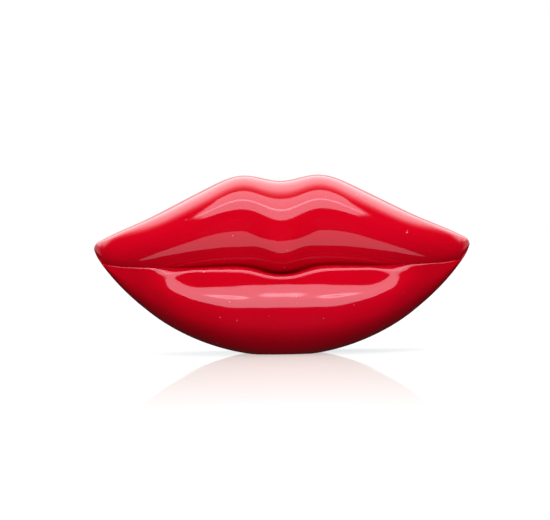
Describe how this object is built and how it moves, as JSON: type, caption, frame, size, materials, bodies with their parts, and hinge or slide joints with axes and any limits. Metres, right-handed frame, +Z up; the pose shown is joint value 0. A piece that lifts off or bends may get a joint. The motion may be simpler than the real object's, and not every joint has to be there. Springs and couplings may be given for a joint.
{
  "type": "novelty shaped telephone",
  "caption": "Novelty desk telephone shaped as closed glossy lips that stand on the lower lip, with a push-button keypad, earpiece and mouthpiece set in its flat back.",
  "frame": {"origin": "on the table under the middle of the telephone's bounding box", "axes": "+Z up; the lips face -Y and the flat back with the keypad faces +Y; +X runs along the lips to the earpiece end"},
  "size_m": [0.2158, 0.0619, 0.1015],
  "materials": {
    "gloss_red": "polished moulded ABS, high gloss",
    "cover_red": "moulded ABS, satin gloss",
    "key_ivory": "moulded keys, satin, printed digits",
    "black_plastic": "fine matt moulding",
    "black_rubber": "matt rubber",
    "silicone": "translucent grey silicone",
    "foam": "open foam ring",
    "board_laminate": "paper-phenolic circuit laminate",
    "capacitor_sleeve": "shrink sleeve",
    "lead_insulation": "PVC insulation",
    "gold_plate": "gold-plated contact wire",
    "steel": "bright zinc-plated steel"
  },
  "bodies": {
    "handset": {"front_shell": "gloss_red", "rear_cover": "cover_red", "keypad_bezel": "black_plastic", "keypad_mat": "silicone", "main_board": "board_laminate", "board_screw_1": "steel", "board_screw_2": "steel", "board_screw_3": "steel", "board_screw_4": "steel", "dialler_chip": "black_plastic", "filter_capacitor": "capacitor_sleeve", "coupling_capacitor": "capacitor_sleeve", "ringer_sounder": "black_plastic", "line_jack": "black_plastic", "line_jack_contacts": "gold_plate", "ringer_switch_body": "steel", "tone_switch_body": "steel", "receiver_capsule": "black_plastic", "receiver_gasket": "foam", "microphone_boot": "black_rubber", "microphone_capsule": "steel", "receiver_lead": "lead_insulation", "microphone_lead": "lead_insulation", "hook_lead": "lead_insulation", "hook_spring": "steel", "hook_bracket": "black_plastic", "bracket_screw_1": "steel", "bracket_screw_2": "steel", "hook_switch": "black_plastic", "ballast_weight": "steel", "cover_screw_1": "steel", "cover_screw_2": "steel", "cover_screw_3": "steel", "cover_screw_4": "steel", "cover_screw_5": "steel", "cover_screw_6": "steel", "foot_pad_1": "black_rubber", "foot_pad_2": "black_rubber", "foot_pad_3": "black_rubber", "foot_pad_4": "black_rubber"},
    "key_1": {"key_1": "key_ivory"},
    "key_2": {"key_2": "key_ivory"},
    "key_3": {"key_3": "key_ivory"},
    "key_4": {"key_4": "key_ivory"},
    "key_5": {"key_5": "key_ivory"},
    "key_6": {"key_6": "key_ivory"},
    "key_7": {"key_7": "key_ivory"},
    "key_8": {"key_8": "key_ivory"},
    "key_9": {"key_9": "key_ivory"},
    "key_star": {"key_star": "key_ivory"},
    "key_0": {"key_0": "key_ivory"},
    "key_hash": {"key_hash": "key_ivory"},
    "key_redial": {"key_redial": "key_ivory"},
    "key_mute": {"key_mute": "key_ivory"},
    "ringer_slider": {"ringer_switch_knob": "black_plastic"},
    "tone_slider": {"tone_switch_knob": "black_plastic"},
    "hook_plunger": {"hook_plunger": "black_plastic"},
    "hook_lever": {"hook_switch_lever": "steel"}
  },
  "joints": [
    {"name": "key_1_press", "type": "slide", "parent": "handset", "child": "key_1", "axis": [0, -1, 0], "range_m": [0, 0.0018], "stiffness_N_per_m": 400, "springref_m": -0.001, "deforming": ["keypad_mat"]},
    {"name": "key_2_press", "type": "slide", "parent": "handset", "child": "key_2", "axis": [0, -1, 0], "range_m": [0, 0.0018], "stiffness_N_per_m": 400, "springref_m": -0.001, "deforming": ["keypad_mat"]},
    {"name": "key_3_press", "type": "slide", "parent": "handset", "child": "key_3", "axis": [0, -1, 0], "range_m": [0, 0.0018], "stiffness_N_per_m": 400, "springref_m": -0.001, "deforming": ["keypad_mat"]},
    {"name": "key_4_press", "type": "slide", "parent": "handset", "child": "key_4", "axis": [0, -1, 0], "range_m": [0, 0.0018], "stiffness_N_per_m": 400, "springref_m": -0.001, "deforming": ["keypad_mat"]},
    {"name": "key_5_press", "type": "slide", "parent": "handset", "child": "key_5", "axis": [0, -1, 0], "range_m": [0, 0.0018], "stiffness_N_per_m": 400, "springref_m": -0.001, "deforming": ["keypad_mat"]},
    {"name": "key_6_press", "type": "slide", "parent": "handset", "child": "key_6", "axis": [0, -1, 0], "range_m": [0, 0.0018], "stiffness_N_per_m": 400, "springref_m": -0.001, "deforming": ["keypad_mat"]},
    {"name": "key_7_press", "type": "slide", "parent": "handset", "child": "key_7", "axis": [0, -1, 0], "range_m": [0, 0.0018], "stiffness_N_per_m": 400, "springref_m": -0.001, "deforming": ["keypad_mat"]},
    {"name": "key_8_press", "type": "slide", "parent": "handset", "child": "key_8", "axis": [0, -1, 0], "range_m": [0, 0.0018], "stiffness_N_per_m": 400, "springref_m": -0.001, "deforming": ["keypad_mat"]},
    {"name": "key_9_press", "type": "slide", "parent": "handset", "child": "key_9", "axis": [0, -1, 0], "range_m": [0, 0.0018], "stiffness_N_per_m": 400, "springref_m": -0.001, "deforming": ["keypad_mat"]},
    {"name": "key_star_press", "type": "slide", "parent": "handset", "child": "key_star", "axis": [0, -1, 0], "range_m": [0, 0.0018], "stiffness_N_per_m": 400, "springref_m": -0.001, "deforming": ["keypad_mat"]},
    {"name": "key_0_press", "type": "slide", "parent": "handset", "child": "key_0", "axis": [0, -1, 0], "range_m": [0, 0.0018], "stiffness_N_per_m": 400, "springref_m": -0.001, "deforming": ["keypad_mat"]},
    {"name": "key_hash_press", "type": "slide", "parent": "handset", "child": "key_hash", "axis": [0, -1, 0], "range_m": [0, 0.0018], "stiffness_N_per_m": 400, "springref_m": -0.001, "deforming": ["keypad_mat"]},
    {"name": "key_redial_press", "type": "slide", "parent": "handset", "child": "key_redial", "axis": [0, -1, 0], "range_m": [0, 0.0018], "stiffness_N_per_m": 400, "springref_m": -0.001, "deforming": ["keypad_mat"]},
    {"name": "key_mute_press", "type": "slide", "parent": "handset", "child": "key_mute", "axis": [0, -1, 0], "range_m": [0, 0.0018], "stiffness_N_per_m": 400, "springref_m": -0.001, "deforming": ["keypad_mat"]},
    {"name": "ringer_switch_slide", "type": "slide", "parent": "handset", "child": "ringer_slider", "axis": [-1, 0, 0], "range_m": [0, 0.003]},
    {"name": "tone_switch_slide", "type": "slide", "parent": "handset", "child": "tone_slider", "axis": [-1, 0, 0], "range_m": [0, 0.003]},
    {"name": "hook_plunger_drop", "type": "slide", "parent": "handset", "child": "hook_plunger", "axis": [0, 0, -1], "range_m": [0, 0.003], "stiffness_N_per_m": 100, "springref_m": 0.0045, "deforming": ["hook_spring"]},
    {"name": "hook_lever_turn", "type": "hinge", "parent": "handset", "child": "hook_lever", "pos_m": [-0.0105, 0.001, 0.02075], "axis": [0, 1, 0], "range_deg": [0, 8.5]}
  ],
  "couplings": [
    {"joint": "hook_lever_turn", "follows": "hook_plunger_drop", "rad_per_m": 46.5}
  ]
}
